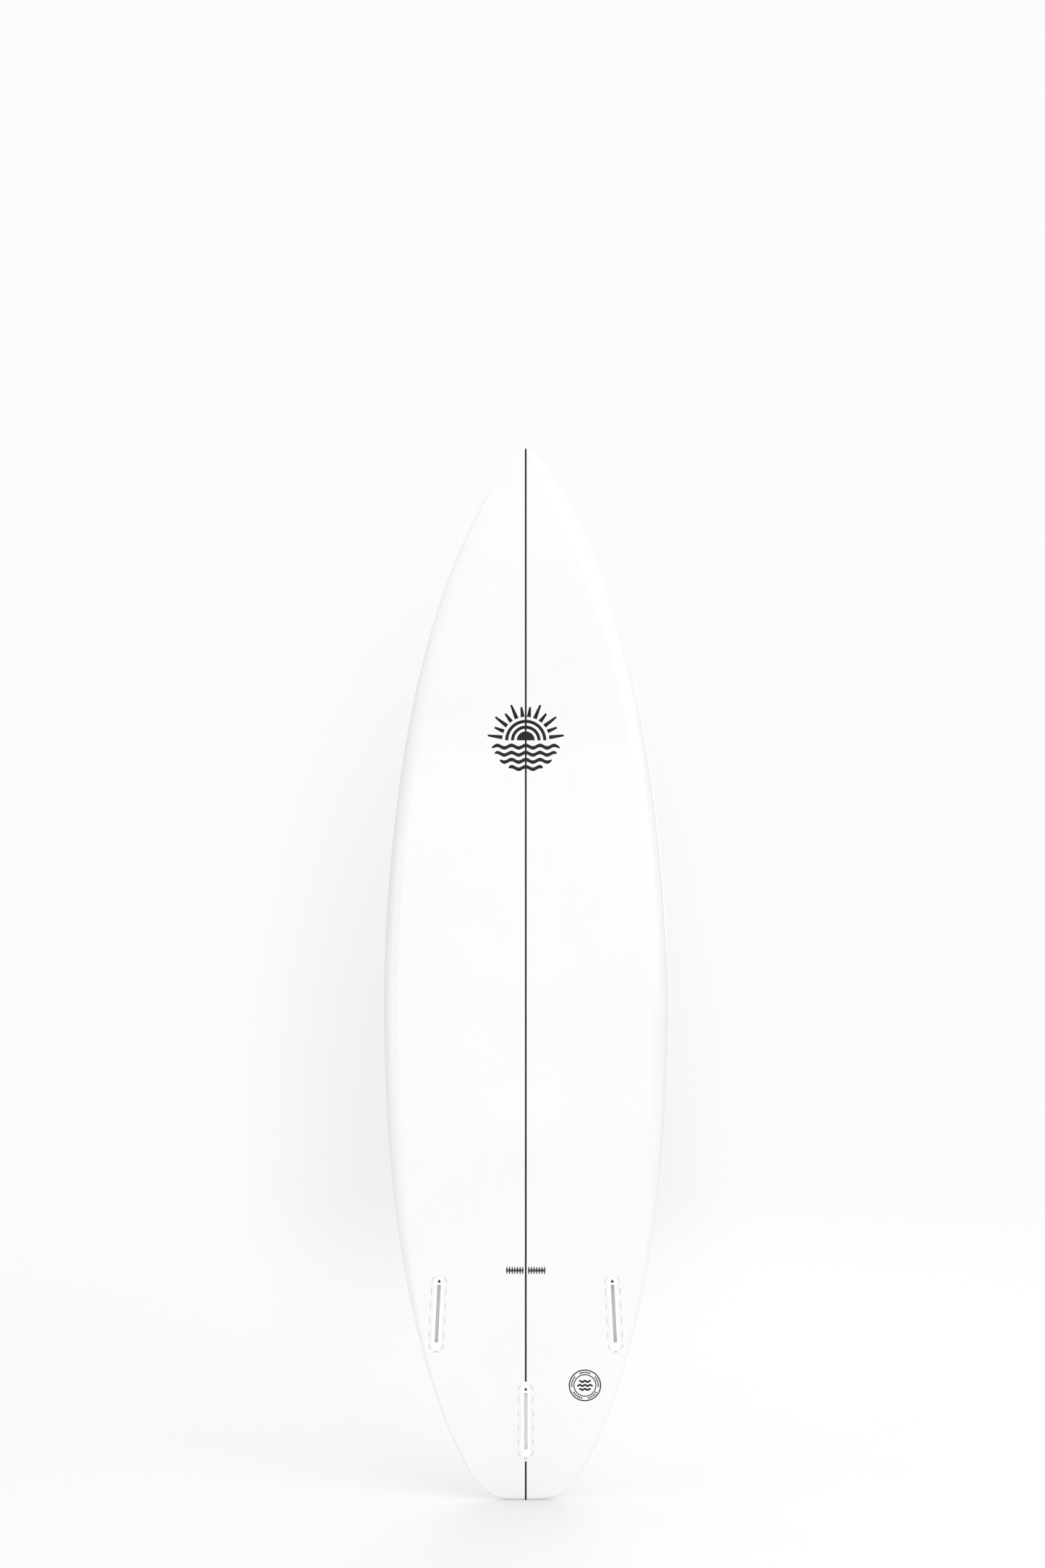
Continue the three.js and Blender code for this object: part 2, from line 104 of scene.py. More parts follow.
# Set screws, slanted at the nose end of each slot
SCREW_SLANT = math.radians(45)
SCREW_MOUTH = 0.0582
SCREW_BORE_RADIUS = 0.0024
SCREW_BORE_MOUTH = 0.008
SCREW_BORE_END = 0.001
SCREW_BORE_SIDES = 64
SCREW_RADIUS = 0.0021
SCREW_CORE_RADIUS = 0.00178
SCREW_HEAD_RADIUS = 0.00172
SCREW_LENGTH = 0.006
SCREW_RECESS = 0.0025
SCREW_PITCH = 0.0008
SCREW_THREAD = {"start": 0.0003, "end": 0.0053, "fade": 0.0006, "flat": 1.25, "steps": 130}
SCREW_POINT = ((0.00165, 0.0004), (0.0012, 0.0), (0.001, 0.0), (0.0004, 0.0004))  # radius, back from its end
SCREW_SIDES = 60
SOCKET_ACROSS_FLATS = 0.0024
SOCKET_DEPTH = 0.003
SOCKET_CHAMFER = 0.00015
SOCKET_DIMPLE = 0.0004
SOCKET_SHARES = {"dimple": 0.35, "mouth": 1.08}
SCREW_DOWN = np.array([0, math.cos(SCREW_SLANT), -math.sin(SCREW_SLANT)])

# Leash plug, in its own frame: Y into the deck, Z towards the nose
CUP_RADIUS = 0.0143
CUP_DEPTH = 0.015
CUP_MOUTH_RADIUS = 0.0106
CUP_BOWL_RADIUS = 0.0094
CUP_FLOOR = 0.0024
CUP_BEND = 0.003
CUP_LIP = 0.0008
CUP_EDGE = 0.0002
CUP_ROUND = 0.001
CUP_SIDES = 96
PIN_RADIUS = 0.002
PIN_PLAY = 0.00003
PIN_DEPTH = 0.0044
PIN_LENGTH = 0.0254
PIN_ROUND = 0.0004
PIN_END_PLAY = 0.0001
PIN_SIDES = 48
RIM_MOUNT_REACH = 0.0124

# Printed marks: where each is on the bottom, and its sizes
SUN_MARK = {"x": 0.0, "z": 1.321, "radius": 0.061, "horizon": -0.006, "disc": 0.0155}
SUN_ARCS = ((0.0200, 0.0255), (0.0300, 0.0355))
SUN_RAYS = {"count": 12, "inner": 0.0405, "long": 0.066, "short": 0.058, "wide": 0.0072, "narrow": 0.0034}
SUN_WAVES = {"count": 4, "first": 0.0108, "pitch": 0.0122}
SUN_WAVE = {"swing": 0.0022, "length": 0.0245, "thick": 0.0064}
ORNAMENT = {"x": 0.0, "z": 0.405, "width": 0.0675, "height": 0.0144}
SPINDLES = {"first": 0.0052, "margin": 0.0014, "count": 13, "long": (1, 0.0025), "short": (0.4, 0.0013)}
RING_MARK = {"x": 0.102, "z": 0.204, "radius": 0.028, "line": 0.0021, "inner": (0.0180, 0.0198)}
RING_TICKS = {"groups": 5, "count": 6, "pitch": 8.4, "half": 2.8, "radii": (0.0213, 0.0244)}
RING_WAVES = ((0.0070, 0.021), (0.0, 0.028), (-0.0070, 0.021))
RING_WAVE = {"swing": 0.0011, "length": 0.0090, "thick": 0.0038}

# The flange under the glass and its marks, and how far marks stand proud of the skin and reach into it
SHOWN_FROM_RIM = 0.00015
SHOWN_PAST_EDGE = 0.0012
FLANGE_DASH = {"count": 4, "pitch": 0.0253, "long": 0.011, "thin": 0.0007, "middle": 0.0015}
FLANGE_ARCS = ((4, 50), (130, 176))
FLANGE_STROKE = 0.0008
PRINT_LIFT = 0.00004
FLANGE_LIFT = 0.00002
INLAY_SINK = 0.0002

# Mesh density
STATIONS = 260
FLAT_COLUMNS = 20
TUCK_COLUMNS = 28
DECK_COLUMNS = 52
STRAIGHT_STEPS = 26

# Limits: the least length that a division allows, how near two points count as one, the shortest edge
# that a cut may leave, how far a window's cutter reaches past the surface, and the least cosine between a
# face and the form's own normal for the face to be skin and not the wall of a cut
NEARLY_ZERO = 1e-9
SAME_PLACE = 1e-7
SHORTEST_EDGE = 2e-6
WINDOW_REACH = 0.004
FACING = 0.6

# ---- Board form ----


def smooth(low, high, z):
    share = np.clip((z - low) / (high - low), 0, 1)
    return share * share * (3 - 2 * share)


def shares(z, height):
    """How far z lies from a height towards the nose and towards the tail, each from 0 to 1."""
    return np.clip((z - height) / (LENGTH - height), 0, 1), np.clip((height - z) / height, 0, 1)


def half_width(z):
    """Half the width of the plan outline at height z: one curve from the wide point to each end."""
    z = np.asarray(z, float)
    t, s = shares(z, WIDE_POINT)
    nose = (1 - t ** NOSE_CURVE["reach"]) ** NOSE_CURVE["close"] * (1 + NOSE_CURVE["swell"] * t**3 * (1 - t))
    tail = (1 - s ** TAIL_CURVE["reach"]) ** TAIL_CURVE["close"] * (1 - TAIL_CURVE["pull"] * s**3)
    return HALF_WIDTH * np.where(z >= WIDE_POINT, nose, tail)


def outline_slant(z):
    """How much a distance across the board shortens when it is measured square to the outline."""
    step = np.maximum(np.minimum(np.minimum(0.0005, z / 2), (LENGTH - z) / 2), NEARLY_ZERO)
    slope = (half_width(z + step) - half_width(z - step)) / (2 * step)
    return 1 / np.hypot(1, slope)


def rocker(z):
    """Depth of the bottom behind its lowest point, along the stringer."""
    nose, tail = shares(z, ROCKER_LOW_POINT)
    return NOSE_ROCKER * nose**ROCKER_POWER + TAIL_ROCKER * tail**ROCKER_POWER


def thickness(z):
    nose, tail = shares(z, THICK_POINT)
    towards_nose = NOSE_THICKNESS + (THICKNESS - NOSE_THICKNESS) * (1 - nose**NOSE_FOIL)
    towards_tail = TAIL_THICKNESS + (THICKNESS - TAIL_THICKNESS) * (1 - tail**TAIL_FOIL)
    return np.where(z >= THICK_POINT, towards_nose, towards_tail)


def rail_height(z):
    """Height of the rail's outermost line above the bottom."""
    towards_tail = (RAIL["middle"] - RAIL["tail"]) * (1 - smooth(0, RAIL["tail_end"], z))
    towards_nose = (RAIL["nose"] - RAIL["middle"]) * smooth(RAIL["nose_start"], LENGTH, z)
    return (RAIL["middle"] - towards_tail + towards_nose) * thickness(z)


def concave(z):
    rise = smooth(CONCAVE["start"], CONCAVE["full"], z)
    return CONCAVE["depth"] * rise * (1 - smooth(CONCAVE["fade"], CONCAVE["end"], z))


def quarter(share):
    """A quarter circle that closes a surface over its last stretch."""
    return np.sqrt(1 - (1 - np.clip(share, 0, 1)) ** 2)


def end_round(z):
    return quarter(z / TAIL_ROUND) * quarter((LENGTH - z) / NOSE_ROUND)


def rail_line(z):
    return rocker(z) + rail_height(z)


def tuck_reach(z):
    """How far the tucked edge reaches in from the rail, straight across the board."""
    wide = TUCK["tail"] + (TUCK["middle"] - TUCK["tail"]) * smooth(TUCK["start"], TUCK["end"], z)
    reach = wide / np.maximum(outline_slant(z), NEARLY_ZERO)
    return np.maximum(np.minimum(reach, TUCK["limit"] * half_width(z)), NEARLY_ZERO)


def bottom_at(x, z):
    width = np.maximum(half_width(z), NEARLY_ZERO)
    share = np.clip(np.abs(x) / width, 0, 1)
    tuck = quarter(width * (1 - share) / tuck_reach(z))
    return rail_line(z) - (rail_height(z) + concave(z) * share**2) * tuck * end_round(z) + shift


def deck_at(x, z):
    width = np.maximum(half_width(z), NEARLY_ZERO)
    share = np.clip(np.abs(x) / width, 0, 1)
    rise = (thickness(z) - rail_height(z)) * (1 - share**2) ** DECK_FALL
    return rail_line(z) + rise * end_round(z) + shift


# ---- Frames taken from the record's mounts, each as (turn, origin) ----


def mount(name):
    found = next(m for m in record["mounts"] if m["name"] == name)
    return Vector(found["pos_m"]), Vector(found["axis"])


def box_frame(name, box, side):
    """The frame of a fin box: its origin is on the rim, its Y points into the board. side is 1 on +X."""
    floor, out = mount(name)
    inwards = -out
    across = Vector((1, 0, 0))
    along = across.cross(inwards)
    turned = Matrix.Rotation(-side * box["toe"], 3, inwards) @ Matrix((across, inwards, along)).transposed()
    return np.array(turned), np.array(floor + out * (box["depth"] - BOX_FLOOR), float)


def plug_frame():
    """The frame of the leash plug. The record's mount is a point of the rim on its nose side."""
    rim, out = mount("leash_plug_rim")
    inwards = -out
    across = (Vector((-1, 0, 0)) + inwards * inwards.x).normalized()
    along = across.cross(inwards)
    turn = Matrix((across, inwards, along)).transposed()
    return np.array(turn), np.array(rim - along * RIM_MOUNT_REACH, float)


boxes = {
    "left": (SIDE_BOX, box_frame("fin_slot_left", SIDE_BOX, 1)),
    "right": (SIDE_BOX, box_frame("fin_slot_right", SIDE_BOX, -1)),
    "center": (CENTER_BOX, box_frame("fin_slot_center", CENTER_BOX, 0)),
}
# The middle of the centre box's rim says how far the board form stands back along Y
rout_y, rout_z = boxes["center"][1][1][1:]
shift = float(rout_y - RIM_INSET - rocker(rout_z))


def to_world(at, points):
    turn, origin = at
    return points @ turn.T + origin


def flush_depth(at, plan, surface):
    """Local depth at which the board's surface lies under each local point (x, z), found in three steps."""
    turn, depth = at[0], np.zeros(len(plan))
    for _ in range(3):
        world = to_world(at, at_depth(plan, depth))
        depth += (surface(world[:, 0], world[:, 2]) - world[:, 1]) / turn[1, 1]
    return depth


# ---- Mesh helpers ----


def make_mesh(name, points, faces, sharp_angle=180):
    """A mesh from points and faces, with its faces out and its edges sharp above an angle in degrees."""
    mesh = bpy.data.meshes.new(name)
    mesh.from_pydata([tuple(p) for p in points], [], faces)
    made = bmesh.new()
    made.from_mesh(mesh)
    bmesh.ops.recalc_face_normals(made, faces=made.faces)
    made.to_mesh(mesh)
    made.free()
    shade_smooth(mesh, sharp_angle)
    return mesh


def shade_smooth(mesh, sharp_angle):
    """Smooth faces, with the edges above an angle in degrees sharp."""
    mesh.polygons.foreach_set("use_smooth", [True] * len(mesh.polygons))
    mesh.set_sharp_from_angle(angle=math.radians(sharp_angle))


def loft(rings):
    """Points and faces through rings of equal length, closed by a flat face at each end."""
    count = len(rings[0])
    points = [p for ring in rings for p in ring]
    faces = []
    for row in range(len(rings) - 1):
        for i in range(count):
            j = (i + 1) % count
            a, b = row * count, (row + 1) * count
            faces.append((a + i, a + j, b + j, b + i))
    for base in (0, len(points) - count):
        faces.append(tuple(range(base, base + count)))
    return points, faces


def link(name, mesh):
    piece = bpy.data.objects.new(name, mesh)
    bpy.context.scene.collection.objects.link(piece)
    return piece


def add_piece(name, mesh, body, slot, replaced, *looks):
    piece = link(name, mesh)
    for look in looks:
        mesh.materials.append(look)
    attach(piece, body)
    if replaced:
        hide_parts(replaced)
    return piece


def cut(mesh, *cutters):
    """The mesh with the cutters' solids taken out of it."""
    target = link("cut_target", mesh)
    tools = [link("cut_tool", cutter) for cutter in cutters]
    for tool in tools:
        modifier = target.modifiers.new("cut", "BOOLEAN")
        modifier.operation = "DIFFERENCE"
        modifier.solver = "EXACT"
        modifier.object = tool
    bpy.context.view_layer.update()
    seen = target.evaluated_get(bpy.context.evaluated_depsgraph_get())
    made = bpy.data.meshes.new_from_object(seen)
    for extra in (target, *tools):
        bpy.data.objects.remove(extra)
    cleaned = bmesh.new()
    cleaned.from_mesh(made)
    bmesh.ops.dissolve_degenerate(cleaned, dist=SHORTEST_EDGE, edges=cleaned.edges)
    cleaned.to_mesh(made)
    cleaned.free()
    return made


def circle(sides, first=0.0):
    """(cos, sin) at even steps round a circle. first is where the first point is, in steps."""
    turns = 2 * math.pi * (np.arange(sides) + first) / sides
    return np.column_stack([np.cos(turns), np.sin(turns)])


def quadrant(width, length, corner, arc, end):
    """A quarter of a rounded rectangle, from the middle of its +X side to just before the middle of its
    +Z end: points on the side, arc points round the corner and end points along the end."""
    points = [(width / 2, (length / 2 - corner) * i / STRAIGHT_STEPS) for i in range(STRAIGHT_STEPS)]
    for i in range(arc):
        turn = math.pi / 2 * i / arc
        x = width / 2 - corner + corner * math.cos(turn)
        points.append((x, length / 2 - corner + corner * math.sin(turn)))
    points += [((width / 2 - corner) * (1 - i / end), length / 2) for i in range(end)]
    return points


def whole_ring(nose, tail, length):
    """A closed ring of (x, z) from a quadrant for its nose end and one for its tail end."""
    ring = nose + [(0, length / 2)] + [(-x, z) for x, z in nose[:0:-1]]
    ring += [(-x, -z) for x, z in tail] + [(0, -length / 2)] + [(x, -z) for x, z in tail[:0:-1]]
    return np.array(ring)


def slot_ring(size, corners, grow=0.0):
    """(x, z) round a rounded rectangle. corners are the corner radii at the nose end and the tail end."""
    width, length = size[0] + 2 * grow, size[1] + 2 * grow
    nose, tail = (quadrant(width, length, corner + grow, 10, 8) for corner in corners)
    return whole_ring(nose, tail, length)


def stadium_ring(size, grow=0.0):
    """(x, z) round a stadium, point for point beside slot_ring."""
    width, length = size[0] + 2 * grow, size[1] + 2 * grow
    end = quadrant(width, length, width / 2, 18, 0)
    return whole_ring(end, end, length)


def at_depth(ring, depth):
    """A flat ring at a depth, or at one depth per point."""
    return np.column_stack([ring[:, 0], np.broadcast_to(depth, len(ring)), ring[:, 1]])


def prism(ring, low, high, at):
    """A closed upright solid on a ring of (x, z) in a frame, as a cutter."""
    rings = [to_world(at, at_depth(ring, d)) for d in (low, high)]
    return make_mesh("prism", *loft(rings))


def rod(radius, low, high, sides, at, start, direction):
    """A closed round rod along a direction from a point of a frame, as a cutter. Its edges lie half a
    step off the frame's planes, so that they miss the edges of what it cuts."""
    start, direction = Vector(start), Vector(direction).normalized()
    first = direction.orthogonal().normalized()
    section = circle(sides, 0.5) * radius @ np.array([first, direction.cross(first)])
    rings = [to_world(at, section + np.array(start + direction * d)) for d in (low, high)]
    return make_mesh("rod", *loft(rings))


# ---- Materials ----


def feed(tree, socket, value):
    """Sets a socket to a value, or links another socket to it."""
    if isinstance(value, bpy.types.NodeSocket):
        tree.links.new(value, socket)
    else:
        socket.default_value = value


def add_node(tree, kind, **sockets):
    made = tree.nodes.new("ShaderNode" + kind)
    for name, value in sockets.items():
        feed(tree, made.inputs[name.replace("_", " ")], value)
    return made


def map_range(tree, value, low, high, start=0.0, end=1.0, kind="LINEAR"):
    """Maps a value that runs from start to end onto low to high. Each may be a number or a socket."""
    made = add_node(tree, "MapRange", Value=value, From_Min=start, From_Max=end, To_Min=low, To_Max=high)
    made.interpolation_type = kind
    return made.outputs["Result"]


class Look:
    """A procedural material: a Principled shader, and short calls for the nodes that feed it."""

    def __init__(self, name, color, roughness, **sockets):
        self.material = bpy.data.materials.new(name)
        self.material.use_nodes = True
        self.material.diffuse_color = (*color, 1)
        self.tree = self.material.node_tree
        self.drive(Base_Color=(*color, 1), Roughness=roughness, **sockets)
        self.place = self.node("TexCoord").outputs["Object"]

    def drive(self, **sockets):
        """Sets the shader's own sockets, or links them."""
        for name, value in sockets.items():
            feed(self.tree, self.tree.nodes["Principled BSDF"].inputs[name.replace("_", " ")], value)

    def node(self, kind, **sockets):
        return add_node(self.tree, kind, **sockets)

    def stretched(self, x, y, z):
        """The object's coordinates scaled along each axis."""
        return self.node("Mapping", Vector=self.place, Scale=(x, y, z)).outputs["Vector"]

    def noise(self, scale, detail=2.0, place=None):
        place = place or self.place
        return self.node("TexNoise", Vector=place, Scale=scale, Detail=detail).outputs["Fac"]

    def cells(self, scale):
        return self.node("TexVoronoi", Vector=self.place, Scale=scale).outputs["Distance"]

    def waves(self, pitch, direction):
        """Stripes of a pitch in metres, square to a direction."""
        made = self.node("TexWave", Vector=self.place, Scale=math.pi / (10 * pitch))
        made.bands_direction = direction
        return made.outputs["Fac"]

    def math(self, operation, first, second):
        made = self.node("Math")
        made.operation = operation
        for socket, value in zip(made.inputs, (first, second)):
            feed(self.tree, socket, value)
        return made.outputs["Value"]

    def color(self, factor, *stops):
        """Base colour from a ramp: each stop is a position and a colour."""
        ramp = self.node("ValToRGB", Fac=factor)
        elements = ramp.color_ramp.elements
        for element, (position, color) in zip(elements, stops):
            element.position = position
            element.color = (*color, 1)
        for position, color in stops[2:]:
            elements.new(position).color = (*color, 1)
        self.drive(Base_Color=ramp.outputs["Color"])

    def roughness(self, factor, low, high):
        self.drive(Roughness=map_range(self.tree, factor, low, high))

    def bump(self, height, strength, distance, **below):
        """Adds a bump. below is Normal, the bump that it lies on."""
        made = self.node("Bump", Height=height, Strength=strength, Distance=distance, **below)
        self.drive(Normal=made.outputs["Normal"])
        return made.outputs["Normal"]


GLASS_COAT = {"Coat_Weight": 0.7, "Coat_Roughness": 0.08, "Coat_IOR": 1.45, "Specular_IOR_Level": 0.3}
DARK_COAT = {"Coat_Weight": 0.3, "Coat_Roughness": 0.08, "Coat_IOR": 1.45, "Specular_IOR_Level": 0.12}
CLOTH_PITCH = 0.0013
LAP_WIDTH = 0.045
LAP_WANDER = 0.0015
LAP_EDGE = 0.0006


def cloth(look):
    """The height of a plain weave: threads over and under each other along X and Z."""
    warp = look.waves(CLOTH_PITCH, "X")
    weft = look.waves(CLOTH_PITCH, "Z")
    return look.math("MULTIPLY", warp, weft)


def glassed(look):
    """The sanded and polished filler coat: broad, shallow unevenness under a trace of the cloth."""
    swell = look.bump(look.noise(9.0, 1.0), 0.25, 0.0004)
    return look.bump(cloth(look), 0.08, 0.00002, Normal=swell)


def glass_over_foam(name, light):
    """White foam seen through clear glass. Returns the look, a factor that mottles its colour, and its
    bump."""
    look = Look(name, light, 0.22, **GLASS_COAT)
    cloudy = look.math("MULTIPLY", look.noise(5.0, 3.0), 0.7)
    speckled = look.math("ADD", cloudy, look.math("MULTIPLY", look.noise(1400.0, 1.0), 0.3))
    look.roughness(look.noise(40.0, 4.0), 0.17, 0.3)
    return look, speckled, glassed(look)


def skin_look(name, light, dark):
    look, speckled, _ = glass_over_foam(name, light)
    look.color(speckled, (0.3, dark), (0.7, light))
    return look.material


def lap(look):
    """0 inside and 1 over the lap, where the bottom's cloth is folded over the rail onto the deck."""
    edge = look.node("Attribute")
    edge.attribute_name = "from_edge"
    wander = map_range(look.tree, look.noise(9.0, 3.0), -LAP_WANDER, LAP_WANDER)
    reach = look.math("ADD", edge.outputs["Fac"], wander)
    return map_range(look.tree, reach, 1.0, 0.0, LAP_WIDTH - LAP_EDGE, LAP_WIDTH + LAP_EDGE)


def deck_look():
    """As the bottom, with the faint line and the small step of the lap's cut edge."""
    light, dark = (0.865, 0.865, 0.86), (0.835, 0.838, 0.838)
    look, speckled, weave = glass_over_foam("deck_glass", light)
    step = lap(look)
    line = look.math("MULTIPLY", step, look.math("SUBTRACT", 1.0, step))
    shaded = look.math("SUBTRACT", speckled, look.math("MULTIPLY", line, 1.6))
    look.color(shaded, (0.0, (0.7, 0.705, 0.71)), (0.3, dark), (0.7, light))
    look.bump(step, 0.6, 0.0002, Normal=weave)
    return look.material


def stringer_under_glass_look():
    look = Look("stringer_under_glass", (0.006, 0.006, 0.007), 0.3, **DARK_COAT)
    grain = look.noise(60.0, 5.0, look.stretched(30.0, 30.0, 1.0))
    look.color(grain, (0.25, (0.003, 0.003, 0.004)), (0.8, (0.016, 0.015, 0.015)))
    look.roughness(grain, 0.25, 0.4)
    glassed(look)
    return look.material


def ink_look(name, dark, light):
    look = Look(name, dark, 0.3, **DARK_COAT)
    mottle = look.noise(700.0, 4.0)
    look.color(mottle, (0.35, dark), (0.9, light))
    look.roughness(mottle, 0.24, 0.4)
    glassed(look)
    return look.material


def plastic_look(name, light, dark, roughness):
    look = Look(name, light, roughness, Specular_IOR_Level=0.5)
    flow = look.noise(60.0, 4.0, look.stretched(1.0, 1.0, 0.25))
    look.color(flow, (0.3, dark), (0.75, light))
    look.roughness(look.noise(300.0, 3.0), roughness - 0.06, roughness + 0.1)
    grain = look.bump(look.cells(2600.0), 0.25, 0.00003)
    scratches = look.noise(90.0, 3.0, look.stretched(40.0, 40.0, 1.5))
    look.bump(scratches, 0.2, 0.00003, Normal=grain)
    return look.material


def steel_look(name, light, dark, roughness, along):
    look = Look(name, light, roughness, Metallic=1.0)
    brushed = look.noise(120.0, 4.0, look.stretched(*along))
    look.color(brushed, (0.3, dark), (0.75, light))
    look.roughness(brushed, roughness - 0.08, roughness + 0.14)
    look.bump(brushed, 0.25, 0.00003)
    return look.material


def foam_look():
    look = Look("foam", (0.9, 0.9, 0.87), 0.9)
    blank = look.noise(12.0, 3.0)
    look.color(blank, (0.3, (0.84, 0.84, 0.8)), (0.75, (0.92, 0.92, 0.89)))
    look.roughness(blank, 0.82, 0.95)
    look.bump(look.cells(1800.0), 0.6, 0.0002)
    return look.material


def wood_look():
    look = Look("stringer_wood", (0.02, 0.018, 0.017), 0.5)
    grain = look.noise(60.0, 6.0, look.stretched(30.0, 30.0, 1.0))
    look.color(grain, (0.25, (0.008, 0.008, 0.008)), (0.8, (0.05, 0.045, 0.04)))
    look.roughness(grain, 0.4, 0.6)
    look.bump(grain, 0.4, 0.0001)
    return look.material


def cloth_look():
    look = Look("patch_cloth", (0.85, 0.88, 0.86), 0.35)
    weave = cloth(look)
    look.color(weave, (0.2, (0.78, 0.82, 0.8)), (0.8, (0.88, 0.9, 0.89)))
    look.roughness(weave, 0.3, 0.45)
    look.bump(weave, 0.5, 0.0001)
    return look.material


# ---- Glass skins ----


def station_heights():
    """Heights of the sections, crowding towards both ends, with one at each end of the rout for the
    centre box, where the stringer stops."""
    u = np.linspace(0, 1, STATIONS + 1)[1:-1]
    heights = LENGTH * u**3 * (10 - 15 * u + 6 * u * u)
    for end in (rout_z - ROUTED_LENGTH / 2, rout_z + ROUTED_LENGTH / 2):
        heights[np.argmin(np.abs(heights - end))] = end
    return heights


def strip_edge(z):
    """Half the stringer's width, or less where the nose is too narrow for it."""
    return np.minimum(STRINGER / 2, STRINGER_SHARE * half_width(z))[:, None]


def bottom_columns(z):
    width, reach = half_width(z)[:, None], tuck_reach(z)[:, None]
    flat, strip = width - reach, strip_edge(z)
    on_flat = strip + (flat - strip) * np.linspace(0, 1, FLAT_COLUMNS)
    on_tuck = flat + reach * np.sin(np.linspace(0, math.pi / 2, TUCK_COLUMNS + 1)[1:])
    return np.hstack([on_flat, on_tuck])


def deck_columns(z):
    width = half_width(z)[:, None]
    start = np.arcsin(strip_edge(z) / width)
    return width * np.sin(start + (math.pi / 2 - start) * np.linspace(0, 1, DECK_COLUMNS))


def grid(side_columns, surface, z):
    """Points of one side of the board, section by section, from the -X rail to the +X rail."""
    x = np.hstack([-side_columns[:, ::-1], side_columns])
    tall = np.broadcast_to(z[:, None], x.shape)
    return np.stack([x, surface(x, tall), tall], axis=2)


def tangent(points, axis):
    """The direction of a grid's lines at each point, from both neighbours at their own distances."""
    ahead = np.roll(points, -1, axis) - points
    behind = points - np.roll(points, 1, axis)
    near = np.linalg.norm(behind, axis=2, keepdims=True) ** 2
    far = np.linalg.norm(ahead, axis=2, keepdims=True) ** 2
    direction = ahead * near + behind * far
    length = np.linalg.norm(direction, axis=2, keepdims=True)
    return direction / np.maximum(length, np.finfo(float).tiny)


def section_normals(bottom, deck):
    """Outward normals on the whole section, so that both skins shade as one at the rail."""
    ring = np.concatenate([bottom, deck[:, -2:0:-1]], axis=1)
    tail, nose = (np.broadcast_to(pole(z), ring[:1].shape) for z in (0, LENGTH))
    tall = np.concatenate([tail, ring, nose])
    normals = np.cross(tangent(tall, 0)[1:-1], tangent(ring, 1))
    normals /= np.linalg.norm(normals, axis=2, keepdims=True)
    columns = bottom.shape[1]
    if normals[len(normals) // 2, columns // 2, 1] > 0:
        normals = -normals
    on_bottom = normals[:, :columns]
    deck_middle = normals[:, : columns - 1 : -1]
    return on_bottom, np.concatenate([normals[:, :1], deck_middle, on_bottom[:, -1:]], axis=1)


def pole(z):
    """The point that closes the board at its very end."""
    return np.array([0, float(rail_line(np.float64(z))) + shift, z])


def shell(outer, normals):
    """A closed sheet: the outer grid, the same grid moved in, and the strips that join their edges. It is
    thinner where the board itself is thin. Returns its points, their normals, its faces, and which of the
    faces are over the stringer."""
    sections, columns = outer.shape[:2]
    z = outer[:, :1, 2]
    room = np.minimum(half_width(z), thickness(z) * end_round(z) / 2)
    inner = outer - normals * np.minimum(SKIN, SKIN_SHARE * room)[:, :, None]
    size = sections * columns
    inset = (0, 0, SAME_PLACE)
    ends = np.array([pole(0), pole(0) + inset, pole(LENGTH), pole(LENGTH) - inset])
    points = np.concatenate([outer.reshape(-1, 3), inner.reshape(-1, 3), ends])
    end_normals = np.array([(0, 0, -1), (0, 0, 1), (0, 0, 1), (0, 0, -1)], float)
    vectors = np.concatenate([normals.reshape(-1, 3), -normals.reshape(-1, 3), end_normals])
    faces, strip = [], []
    middle = columns // 2 - 1
    tail_out, tail_in, nose_out, nose_in = range(2 * size, 2 * size + 4)
    for i in range(sections - 1):
        for j in range(columns - 1):
            a, b = i * columns + j, (i + 1) * columns + j
            faces.append((a, a + 1, b + 1, b))
            strip.append(j == middle)
            faces.append((size + a, size + b, size + b + 1, size + a + 1))
            strip.append(False)
        for j, step in ((0, 1), (columns - 1, -1)):
            a, b = i * columns + j, (i + 1) * columns + j
            faces.append((a, b, size + b, size + a)[::step])
            strip.append(False)
    last = (sections - 1) * columns
    for j in range(columns - 1):
        faces.append((tail_out, j + 1, j))
        faces.append((tail_in, size + j, size + j + 1))
        faces.append((nose_out, last + j, last + j + 1))
        faces.append((nose_in, size + last + j + 1, size + last + j))
        strip += [j == middle, False, j == middle, False]
    for j, step in ((0, 1), (columns - 1, -1)):
        faces.append((tail_out, j, size + j, tail_in)[::step])
        faces.append((last + j, nose_out, nose_in, size + last + j)[::step])
        strip += [False, False]
    return points, vectors, faces, strip


def shade(mesh, points, vectors):
    """Gives each corner of the mesh the form's own normal, and leaves a cut's walls flat."""
    tree = KDTree(len(points))
    for i, point in enumerate(points):
        tree.insert(point, i)
    tree.balance()
    own = []
    for vertex in mesh.vertices:
        near = tree.find_n(vertex.co, 3)
        weights = [1 / (distance + SAME_PLACE) for _, _, distance in near]
        vector = sum((Vector(vectors[i]) * w for (_, i, _), w in zip(near, weights)), Vector())
        own.append(vector.normalized())
    corners = []
    for face in mesh.polygons:
        for index in face.vertices:
            corners.append(own[index] if own[index].dot(face.normal) > FACING else face.normal)
    mesh.normals_split_custom_set([tuple(c) for c in corners])


